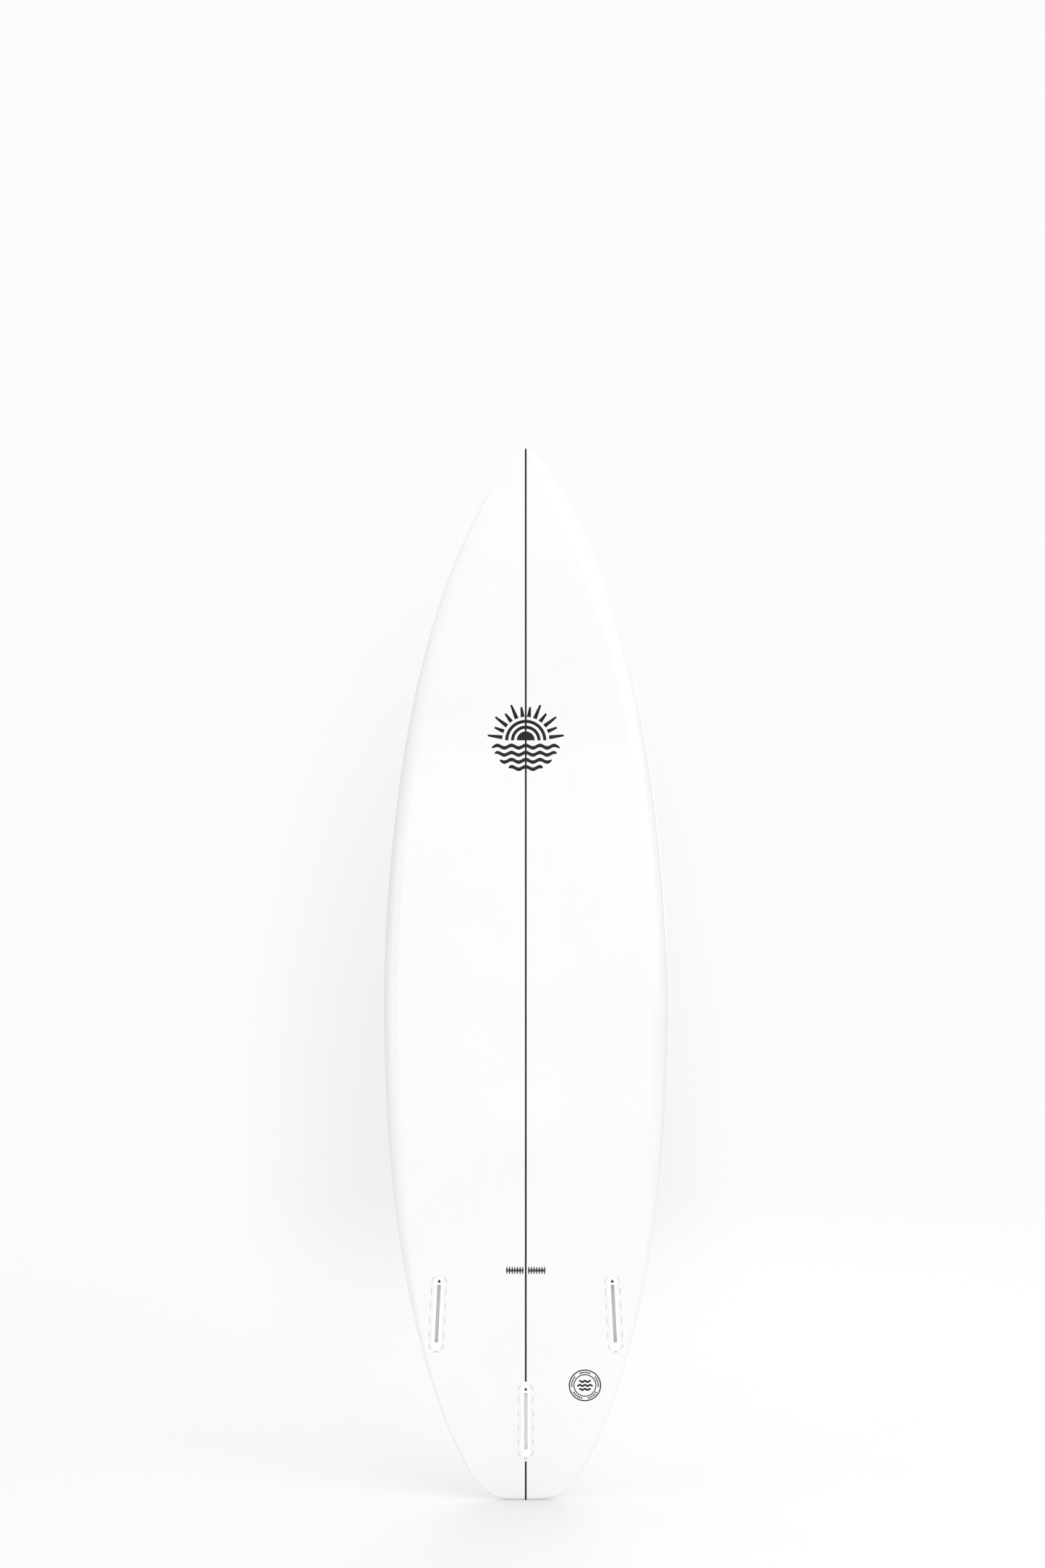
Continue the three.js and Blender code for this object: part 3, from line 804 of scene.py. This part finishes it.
def skin_mesh(name, outer, normals, looks, cutters):
    points, vectors, faces, strip = shell(outer, normals)
    mesh = bpy.data.meshes.new(name)
    mesh.from_pydata([tuple(p) for p in points], [], faces)
    for look in looks:
        mesh.materials.append(look)
    for face, over_stringer in zip(mesh.polygons, strip):
        hidden = name == "bottom_skin" and abs(face.center.z - rout_z) < ROUTED_LENGTH / 2
        face.material_index = 1 if over_stringer and not hidden else 0
        face.use_smooth = True
    mesh = cut(mesh, *cutters)
    shade(mesh, points, vectors)
    places = np.array([v.co for v in mesh.vertices])
    inwards = (half_width(places[:, 2]) - np.abs(places[:, 0])) * outline_slant(places[:, 2])
    mesh.attributes.new("from_edge", "FLOAT", "POINT").data.foreach_set("value", inwards)
    return mesh


def add_skins():
    z = station_heights()
    grids = grid(bottom_columns(z), bottom_at, z), grid(deck_columns(z), deck_at, z)
    strip_look = stringer_under_glass_look()
    windows = [prism(stadium_ring(RIM), -WINDOW_REACH, WINDOW_REACH, at) for _, at in boxes.values()]
    hole = rod(CUP_RADIUS, -CUP_DEPTH, CUP_DEPTH, CUP_SIDES, plug_frame(), (0, 0, 0), (0, 1, 0))
    cutters = {"bottom": windows, "deck": [hole]}
    looks = (skin_look("bottom_glass", (0.875, 0.875, 0.873), (0.85, 0.852, 0.855)), deck_look())
    for side, outer, normals, look in zip(cutters, grids, section_normals(*grids), looks):
        mesh = skin_mesh(f"{side}_skin", outer, normals, (look, strip_look), cutters[side])
        add_piece(f"{side}_skin", mesh, "board", f"{side}_glass", f"{side}_laminate")


# ---- Fin boxes and set screws ----


def fin_box_rings(box, at):
    """Rings of a fin box from the middle of its underside, over the flange and rim, down into the slot."""

    def flush(ring):
        return flush_depth(at, ring, bottom_at)

    body, flange, rim = stadium_ring(BOX_BODY), stadium_ring(FLANGE), stadium_ring(RIM)
    flange_edge, rim_edge = stadium_ring(FLANGE, -FLANGE_EDGE), stadium_ring(RIM, -RIM_EDGE)
    profile = [
        (stadium_ring(BOX_BODY, -BODY_ROUND), box["depth"]),
        (body, box["depth"] - BODY_ROUND),
        (body, FLANGE_FOOT + BODY_FILLET),
        (stadium_ring(BOX_BODY, BODY_FILLET), FLANGE_FOOT),
        (flange_edge, FLANGE_FOOT),
        (flange, FLANGE_FOOT - FLANGE_EDGE),
        (flange, FLANGE_TOP + FLANGE_EDGE),
        (flange_edge, FLANGE_TOP),
        (rim, FLANGE_TOP),
        (rim, flush(rim) + RIM_EDGE),
        (rim_edge, flush(rim_edge)),
    ]
    corners, floor = (SLOT_CORNER, box["tail_corner"]), box["depth"] - BOX_FLOOR
    angles = np.linspace(0, math.pi / 2, 5)
    for angle in angles:
        ring = slot_ring(SLOT, corners, SLOT_LIP * (1 - math.sin(angle)))
        profile.append((ring, flush(ring) + SLOT_LIP * (1 - math.cos(angle))))
    for angle in angles:
        ring = slot_ring(SLOT, corners, -SLOT_BEND * (1 - math.cos(angle)))
        profile.append((ring, floor - SLOT_BEND * (1 - math.sin(angle))))
    return [to_world(at, at_depth(ring, depth)) for ring, depth in profile]


def fin_box_mesh(name, box, at):
    end = (SCREW_MOUTH - SLOT[1] / 2) / math.sin(SCREW_SLANT) + SCREW_BORE_RADIUS + SCREW_BORE_END
    mouth = (0, 0, SCREW_MOUTH)
    bore = rod(SCREW_BORE_RADIUS, -SCREW_BORE_MOUTH, end, SCREW_BORE_SIDES, at, mouth, SCREW_DOWN)
    mesh = cut(make_mesh(name, *loft(fin_box_rings(box, at))), bore)
    shade_smooth(mesh, 35)
    return mesh


def hexagon(across, sides):
    """Radius of a hexagon at each of a number of even angles."""
    turns = np.arange(sides) * 2 * math.pi / sides
    within = (turns + math.pi / 6) % (math.pi / 3) - math.pi / 6
    return across / 2 / np.cos(within)


def screw_rings():
    """Rings of a set screw as (radius per point, distance from its head): socket, head, thread, point."""
    turns, flat = np.arange(SCREW_SIDES) / SCREW_SIDES, np.ones(SCREW_SIDES)
    socket = hexagon(SOCKET_ACROSS_FLATS, SCREW_SIDES)
    rings = [(socket * SOCKET_SHARES["dimple"], SOCKET_DEPTH + SOCKET_DIMPLE), (socket, SOCKET_DEPTH)]
    rings += [(socket, SOCKET_CHAMFER), (socket * SOCKET_SHARES["mouth"], 0.0)]
    rings += [(flat * SCREW_HEAD_RADIUS, 0.0), (flat * SCREW_CORE_RADIUS, 0.00006)]
    start, end, fade = SCREW_THREAD["start"], SCREW_THREAD["end"], SCREW_THREAD["fade"]
    for along in np.linspace(start, end, SCREW_THREAD["steps"] + 1):
        ridge = 1 - np.abs(2 * ((along / SCREW_PITCH - turns) % 1) - 1)
        height = (SCREW_RADIUS - SCREW_CORE_RADIUS) * min(1, (along - start) / fade, (end - along) / fade)
        rings.append((SCREW_CORE_RADIUS + np.clip(ridge * SCREW_THREAD["flat"], 0, 1) * height, along))
    return rings + [(flat * radius, SCREW_LENGTH - back) for radius, back in SCREW_POINT]


def screw_mesh(name, at):
    plane = np.array([(1, 0, 0), (0, math.sin(SCREW_SLANT), math.cos(SCREW_SLANT))])
    head = (0, 0, SCREW_MOUTH) + SCREW_DOWN * SCREW_RECESS
    rings = []
    for radii, along in screw_rings():
        section = circle(SCREW_SIDES) * radii[:, None] @ plane
        rings.append(to_world(at, head + SCREW_DOWN * along + section))
    return make_mesh(name, *loft(rings), 30)


# ---- Flat marks at the surface ----


def band(first, second, across=1, closed=False):
    """A patch of plan points and faces between two edges of equal length."""
    first, second = np.asarray(first), np.asarray(second)
    count = len(first)
    points = np.concatenate([first + (second - first) * i / across for i in range(across + 1)])
    faces = []
    for row in range(across):
        for i in range(count if closed else count - 1):
            j = (i + 1) % count
            faces.append((row * count + i, row * count + j, (row + 1) * count + j, (row + 1) * count + i))
    return points, faces


def arc_band(inner, outer, start, end, step=0.0025, middle=(0, 0)):
    """A band along an arc, with its angles in degrees. A whole turn is closed."""
    steps = max(3, math.ceil(math.radians(abs(end - start)) * outer / step))
    closed = abs(end - start) >= 360
    turns = np.radians(np.linspace(start, end, steps + 1))
    if closed:
        turns = turns[:-1]
    ray = np.column_stack([np.cos(turns), np.sin(turns)])
    return band(ray * inner + middle, ray * outer + middle, max(1, round((outer - inner) / 0.004)), closed)


def wave_band(width, height, swing, length, thick):
    """A band along a cosine wave with rounded ends, about a height."""
    x = np.linspace(-width / 2, width / 2, max(8, math.ceil(width / 0.0012)))
    middle = height + swing * np.cos(2 * math.pi * x / length)
    half = thick / 2 * np.sqrt(np.clip(1 - (np.abs(x) / (width / 2)) ** 14, 0.02, 1))
    return band(np.column_stack([x, middle - half]), np.column_stack([x, middle + half]))


def ray_band(angle, inner, outer, wide, narrow):
    """A ray from one radius to another that narrows outwards."""
    turn = math.radians(angle)
    out, side = np.array([math.cos(turn), math.sin(turn)]), np.array([-math.sin(turn), math.cos(turn)])
    share = np.linspace(0, 1, 9)[:, None]
    middle = out * (inner + (outer - inner) * share)
    half = side * (wide + (narrow - wide) * share) / 2
    return band(middle - half, middle + half)


def half_disc(radius, base):
    x = np.linspace(-0.998, 0.998, 41) * radius
    top = np.sqrt(radius**2 - x**2) + base
    return band(np.column_stack([x, np.full(len(x), base)]), np.column_stack([x, top]), 5)


def spindle(x, height, wide):
    """An upright lens about a place across the board."""
    share = np.linspace(-1, 1, 15)
    half = wide / 2 * (1 - share**2) + 0.00012
    z = share * height / 2
    return band(np.column_stack([x - half, z]), np.column_stack([x + half, z]))


def sun_patches():
    """A rising sun over waves."""
    horizon, rays, waves = SUN_MARK["horizon"], SUN_RAYS, SUN_WAVES
    patches = [half_disc(SUN_MARK["disc"], horizon)]
    for inner, outer in SUN_ARCS:
        patches.append(arc_band(inner, outer, 0, 180, middle=(0, horizon)))
    for i in range(rays["count"]):
        size = "long" if min(i, rays["count"] - 1 - i) % 2 == 0 else "short"
        angle = 180 / rays["count"] * (i + 0.5)
        points, faces = ray_band(angle, rays["inner"], rays[size], rays["wide"], rays["narrow"])
        patches.append((points + (0, horizon), faces))
    for i in range(waves["count"]):
        height = horizon - waves["first"] - waves["pitch"] * i
        width = 2 * math.sqrt(SUN_MARK["radius"] ** 2 - height**2)
        patches.append(wave_band(width, height, **SUN_WAVE))
    return patches


def ornament_patches():
    """Two rows of narrow spindles, one each side of the stringer: long ones with short ones between."""
    patches = []
    last = ORNAMENT["width"] / 2 - SPINDLES["margin"]
    places = np.linspace(SPINDLES["first"], last, SPINDLES["count"])
    for side in (-1, 1):
        for i, x in enumerate(places):
            share, wide = SPINDLES["short" if i % 2 else "long"]
            patches.append(spindle(side * x, ORNAMENT["height"] * share, wide))
    return patches


def ring_patches():
    """Two rings with groups of short ticks between them, and three small waves inside."""
    outer, ticks = RING_MARK["radius"], RING_TICKS
    patches = [arc_band(outer - RING_MARK["line"], outer, 0, 360), arc_band(*RING_MARK["inner"], 0, 360)]
    for group in range(ticks["groups"]):
        for i in range(ticks["count"]):
            angle = 90 + 360 / ticks["groups"] * group + (i - (ticks["count"] - 1) / 2) * ticks["pitch"]
            start, end = angle - ticks["half"], angle + ticks["half"]
            patches.append(arc_band(*ticks["radii"], start, end, 0.0008))
    for height, width in RING_WAVES:
        patches.append(wave_band(width, height, **RING_WAVE))
    return patches


def flange_mark_patches(tail_strokes):
    """What shows of a fin box's flange through the glass: dashes along its edge, arcs round its corners
    and a few strokes at its tail end, each from one (x, z) to another."""
    patches = []
    edge, middle, dash, thin = FLANGE[0] / 2, FLANGE_DASH["middle"], FLANGE_DASH["long"], FLANGE_DASH["thin"]
    for side in (-1, 1):
        for i in range(FLANGE_DASH["count"]):
            place = middle + FLANGE_DASH["pitch"] * (i - (FLANGE_DASH["count"] - 1) / 2)
            z = np.linspace(-dash / 2, dash / 2, 8) + place
            x = np.full(8, side * edge)
            patches.append(band(np.column_stack([x - thin / 2, z]), np.column_stack([x + thin / 2, z])))
    for end in (1, -1):
        centre = (0, middle + end * (FLANGE[1] / 2 - edge))
        for low, high in FLANGE_ARCS:
            patches.append(arc_band(edge - thin / 2, edge + thin / 2, end * low, end * high, 0.001, centre))
    for start, stop in tail_strokes:
        line = np.linspace(start, stop, 6)
        slope = np.subtract(stop, start) / math.dist(start, stop) * FLANGE_STROKE / 2
        aside = np.array([-slope[1], slope[0]])
        patches.append(band(line - aside, line + aside))
    return patches


CROSS = [((-0.0022, -0.0675), (0.0022, -0.0629)), ((-0.0022, -0.0629), (0.0022, -0.0675))]
CHEVRON = [((-0.0052, -0.0678), (-0.0002, -0.0654)), ((0.0002, -0.0654), (0.0052, -0.0678))]


def inlay_mesh(name, patches, place, lift):
    """Thin closed solids on a surface: each patch stands lift proud of it and reaches a little into it."""
    points, faces = [], []
    for plan, cells in patches:
        first, count = len(points), len(plan)
        points += [tuple(p) for p in place(plan, -lift)]
        points += [tuple(p) for p in place(plan, INLAY_SINK)]
        edges = {}
        for cell in cells:
            faces.append(tuple(first + i for i in cell))
            faces.append(tuple(first + count + i for i in reversed(cell)))
            for a, b in zip(cell, cell[1:] + cell[:1]):
                if (b, a) in edges:
                    del edges[(b, a)]
                else:
                    edges[(a, b)] = True
        faces += [(first + b, first + a, first + count + a, first + count + b) for a, b in edges]
    return make_mesh(name, points, faces, 40)


def on_bottom(mark):
    """Places plan points about a mark's middle on the bottom, at a depth."""

    def place(plan, depth):
        x, z = plan[:, 0] + mark["x"], plan[:, 1] + mark["z"]
        return np.column_stack([x, bottom_at(x, z) + depth, z])

    return place


def on_box(at):
    """Places local plan points on the bottom over a fin box, at a depth."""

    def place(plan, depth):
        return to_world(at, at_depth(plan, flush_depth(at, plan, bottom_at) + depth))

    return place


def add_prints():
    ink = ink_look("print_ink", (0.005, 0.005, 0.006), (0.014, 0.014, 0.015))
    marks = (
        ("sun_and_waves_print", sun_patches(), SUN_MARK, "logo_decal"),
        ("spindle_row_print", ornament_patches(), ORNAMENT, "name_decal"),
        ("double_ring_print", ring_patches(), RING_MARK, "badge_decal"),
    )
    for name, patches, mark, node in marks:
        mesh = inlay_mesh(name, patches, on_bottom(mark), PRINT_LIFT)
        add_piece(name, mesh, "board", "printed_sheet", node, ink)


def add_fin_boxes():
    plastic = plastic_look("fin_box_plastic", (0.965, 0.965, 0.96), (0.945, 0.945, 0.945), 0.34)
    under_glass = skin_look("flange_under_glass", (0.85, 0.853, 0.856), (0.835, 0.838, 0.842))
    shade_line = ink_look("flange_slots_under_glass", (0.3, 0.3, 0.31), (0.45, 0.45, 0.45))
    # The set screws are steel; their near-black colour is partly painted shade, standing in for the shadow
    # deep in their bores
    steel = steel_look("screw_steel", (0.05, 0.05, 0.052), (0.02, 0.02, 0.022), 0.42, (1, 1, 12))
    for side, (box, at) in boxes.items():
        node, body = f"fin_box_{side}", f"fin_screw_{side}"
        mesh = fin_box_mesh(node, box, at)
        add_piece(f"{node}_moulding", mesh, "board", "fin_box", node, plastic)
        inner, outer = stadium_ring(RIM, SHOWN_FROM_RIM), stadium_ring(FLANGE, SHOWN_PAST_EDGE)
        flange = inlay_mesh(f"{node}_flange", [band(inner, outer, 3, True)], on_box(at), FLANGE_LIFT)
        add_piece(f"{node}_flange_under_glass", flange, "board", "bottom_glass", None, under_glass)
        strokes = CROSS if side == "center" else CHEVRON
        marks = inlay_mesh(f"{node}_marks", flange_mark_patches(strokes), on_box(at), PRINT_LIFT)
        add_piece(f"{node}_flange_slots", marks, "board", "bottom_glass", None, shade_line)
        add_piece(f"{body}_threaded", screw_mesh(body, at), body, "screw_steel", body, steel)


# ---- Leash plug ----


def cup_profile():
    """(radius, depth, whether the depth counts from the deck's surface) from the middle of the cup's
    underside round to the middle of its bowl."""
    profile = [(CUP_RADIUS - CUP_ROUND, CUP_DEPTH, False), (CUP_RADIUS, CUP_DEPTH - CUP_ROUND, False)]
    profile += [(CUP_RADIUS, CUP_EDGE, True), (CUP_RADIUS - CUP_EDGE, 0.0, True)]
    for angle in np.linspace(0, math.pi / 2, 7):
        radius = CUP_MOUTH_RADIUS + CUP_LIP * (1 - math.sin(angle))
        profile.append((radius, CUP_LIP * (1 - math.cos(angle)), True))
    for angle in np.linspace(0, math.pi / 2, 9):
        radius = CUP_BOWL_RADIUS - CUP_BEND * (1 - math.cos(angle))
        profile.append((radius, CUP_DEPTH - CUP_FLOOR - CUP_BEND * (1 - math.sin(angle)), False))
    return profile


def cup_mesh(at):
    rings = []
    for radius, depth, at_surface in cup_profile():
        ring = circle(CUP_SIDES) * radius
        if at_surface:
            depth = depth + flush_depth(at, ring, deck_at)
        rings.append(to_world(at, at_depth(ring, depth)))
    reach = PIN_LENGTH / 2
    hole = rod(PIN_RADIUS, -reach, reach, PIN_SIDES, at, (0, PIN_DEPTH, 0), (1, 0, 0))
    mesh = cut(make_mesh("leash_cup", *loft(rings)), hole)
    shade_smooth(mesh, 35)
    return mesh


def pin_mesh(at):
    """The steel bar across the cup, with rounded ends."""
    end, radius = PIN_LENGTH / 2 - PIN_END_PLAY, PIN_RADIUS - PIN_PLAY
    profile = [(radius - PIN_ROUND, -end), (radius, -end + PIN_ROUND)]
    profile += [(radius, x) for x in np.linspace(-end + 0.002, end - 0.002, 9)]
    profile += [(radius, end - PIN_ROUND), (radius - PIN_ROUND, end)]
    rings = []
    for r, x in profile:
        ring = np.column_stack([np.full(PIN_SIDES, x), circle(PIN_SIDES) * r + (PIN_DEPTH, 0)])
        rings.append(to_world(at, ring))
    return make_mesh("leash_pin", *loft(rings), 40)


def add_leash_plug():
    at = plug_frame()
    plastic = plastic_look("leash_cup_plastic", (0.9, 0.9, 0.9), (0.86, 0.86, 0.86), 0.36)
    add_piece("leash_cup_moulding", cup_mesh(at), "board", "leash_cup", "leash_cup", plastic)
    steel = steel_look("leash_pin_steel", (0.62, 0.62, 0.63), (0.42, 0.42, 0.43), 0.26, (1, 12, 12))
    add_piece("leash_pin_bar", pin_mesh(at), "board", "steel", "leash_pin", steel)


# ---- Inside ----


def dress_inner_nodes():
    """The CAD nodes inside the skins keep their meshes and get their materials."""
    looks = {
        "foam_core_left": ("foam", foam_look()),
        "stringer": ("stringer", wood_look()),
        "deck_patch": ("patch_glass", cloth_look()),
    }
    looks["foam_core_right"] = looks["foam_core_left"]
    for name, (slot, look) in looks.items():
        node = nodes[name]
        for material_slot in node.material_slots:
            material_slot.material = look


# ---- Studio ----

CAMERA_DISTANCE = 5.219
CAMERA_HEIGHT = 1.240
CAMERA_SIDE = -0.0056
WORLD_LIGHT = 0.97
# WORLD_SHADE and the SHADE_ values below make a painted shadow: the surround is darker in a soft patch
# straight behind the board, in place of the board's shadow on a wall
WORLD_SHADE = 0.87
WORLD_SIDES = 0.6
OVERHEAD = (0.08, 0.62)
BEHIND = (0.75, 0.93)
SHADE_MIDDLE = (-0.012, 1.0, -0.12)
SHADE_REACH = (0.075, 1.0, 0.18)
SHADE_FADE = (0.4, 1.2)
FLOOR_RADIUS = 4.5
FLOOR_FADE = (0.6, 4.2)
LIGHTS_AIM = (0, 0, 0.9)
LIGHTS = {  # place, width and height, watts
    "key": ((2.8, -4.0, 2.9), (5.0, 5.0), 80),
    "front": ((-0.6, -6.6, 1.2), (5.0, 3.6), 41),
    "left": ((-4.0, -2.6, 0.9), (3.0, 2.0), 14),
    "top": ((0.0, 0.0, 4.5), (5.0, 5.0), 26),
    "back": ((1.2, 4.4, 2.2), (4.0, 3.0), 36),
}


def add_camera():
    """A level camera straight in front of the bottom, a little over five metres from its lowest point."""
    camera = link("camera", bpy.data.cameras.new("camera"))
    camera.data.lens = 70
    camera.data.sensor_width = 36
    camera.data.clip_end = 200
    camera.location = (CAMERA_SIDE, shift - CAMERA_DISTANCE, CAMERA_HEIGHT)
    camera.rotation_euler = (math.pi / 2, 0, 0)
    bpy.context.scene.camera = camera


def add_lights():
    for name, (place, size, energy) in LIGHTS.items():
        light = link(name, bpy.data.lights.new(name, "AREA"))
        light.data.shape = "RECTANGLE"
        light.data.size, light.data.size_y = size
        light.data.energy = energy
        light.location = place
        light.rotation_euler = (Vector(LIGHTS_AIM) - Vector(place)).to_track_quat("-Z", "Y").to_euler()
        light.visible_camera = False


def add_world():
    """A soft surround: pale grey at the sides, white overhead and behind the board, and a little darker
    in a soft patch straight behind it: a painted shadow, in place of the board's shadow on a wall behind it."""
    world = bpy.data.worlds.new("studio")
    bpy.context.scene.world = world
    world.use_nodes = True
    tree = world.node_tree
    direction = add_node(tree, "TexCoord").outputs["Generated"]
    axes = add_node(tree, "SeparateXYZ", Vector=direction)
    spot = add_node(tree, "Mapping", Vector=direction, Location=SHADE_MIDDLE, Scale=SHADE_REACH)
    spot.vector_type = "TEXTURE"
    distance = add_node(tree, "VectorMath", Vector=spot.outputs["Vector"])
    distance.operation = "LENGTH"
    around = map_range(tree, axes.outputs["Z"], WORLD_SIDES, WORLD_LIGHT, *OVERHEAD, "SMOOTHSTEP")
    # Painted shadow: the surround is darker in a soft patch straight behind the board
    painted_shadow = map_range(tree, distance.outputs["Value"], WORLD_SHADE, WORLD_LIGHT, *SHADE_FADE, "SMOOTHSTEP")
    level = map_range(tree, axes.outputs["Y"], around, painted_shadow, *BEHIND, "SMOOTHSTEP")
    background = tree.nodes["Background"].inputs
    background["Color"].default_value = (1, 1, 1, 1)
    feed(tree, background["Strength"], level)


def floor_look():
    """A pale matte floor that thins out to nothing far from the board, so that no horizon shows."""
    look = Look("floor", (0.82, 0.82, 0.82), 0.7)
    look.bump(look.noise(300.0, 3.0), 0.05, 0.0002)
    look.roughness(look.noise(4.0, 3.0), 0.65, 0.8)
    distance = look.node("VectorMath", Vector=look.place)
    distance.operation = "LENGTH"
    look.drive(Alpha=map_range(look.tree, distance.outputs["Value"], 1.0, 0.0, *FLOOR_FADE, "SMOOTHSTEP"))
    return look.material


def add_floor():
    rim = [(x, y, 0) for x, y in circle(64) * FLOOR_RADIUS]
    mesh = bpy.data.meshes.new("floor")
    mesh.from_pydata(rim, [], [range(len(rim))])
    floor = link("floor", mesh)
    mesh.materials.append(floor_look())


def add_studio():
    bpy.context.scene.view_settings.view_transform = "Standard"
    add_world()
    add_lights()
    add_floor()


add_camera()
add_skins()
add_prints()
add_fin_boxes()
add_leash_plug()
dress_inner_nodes()
add_studio()
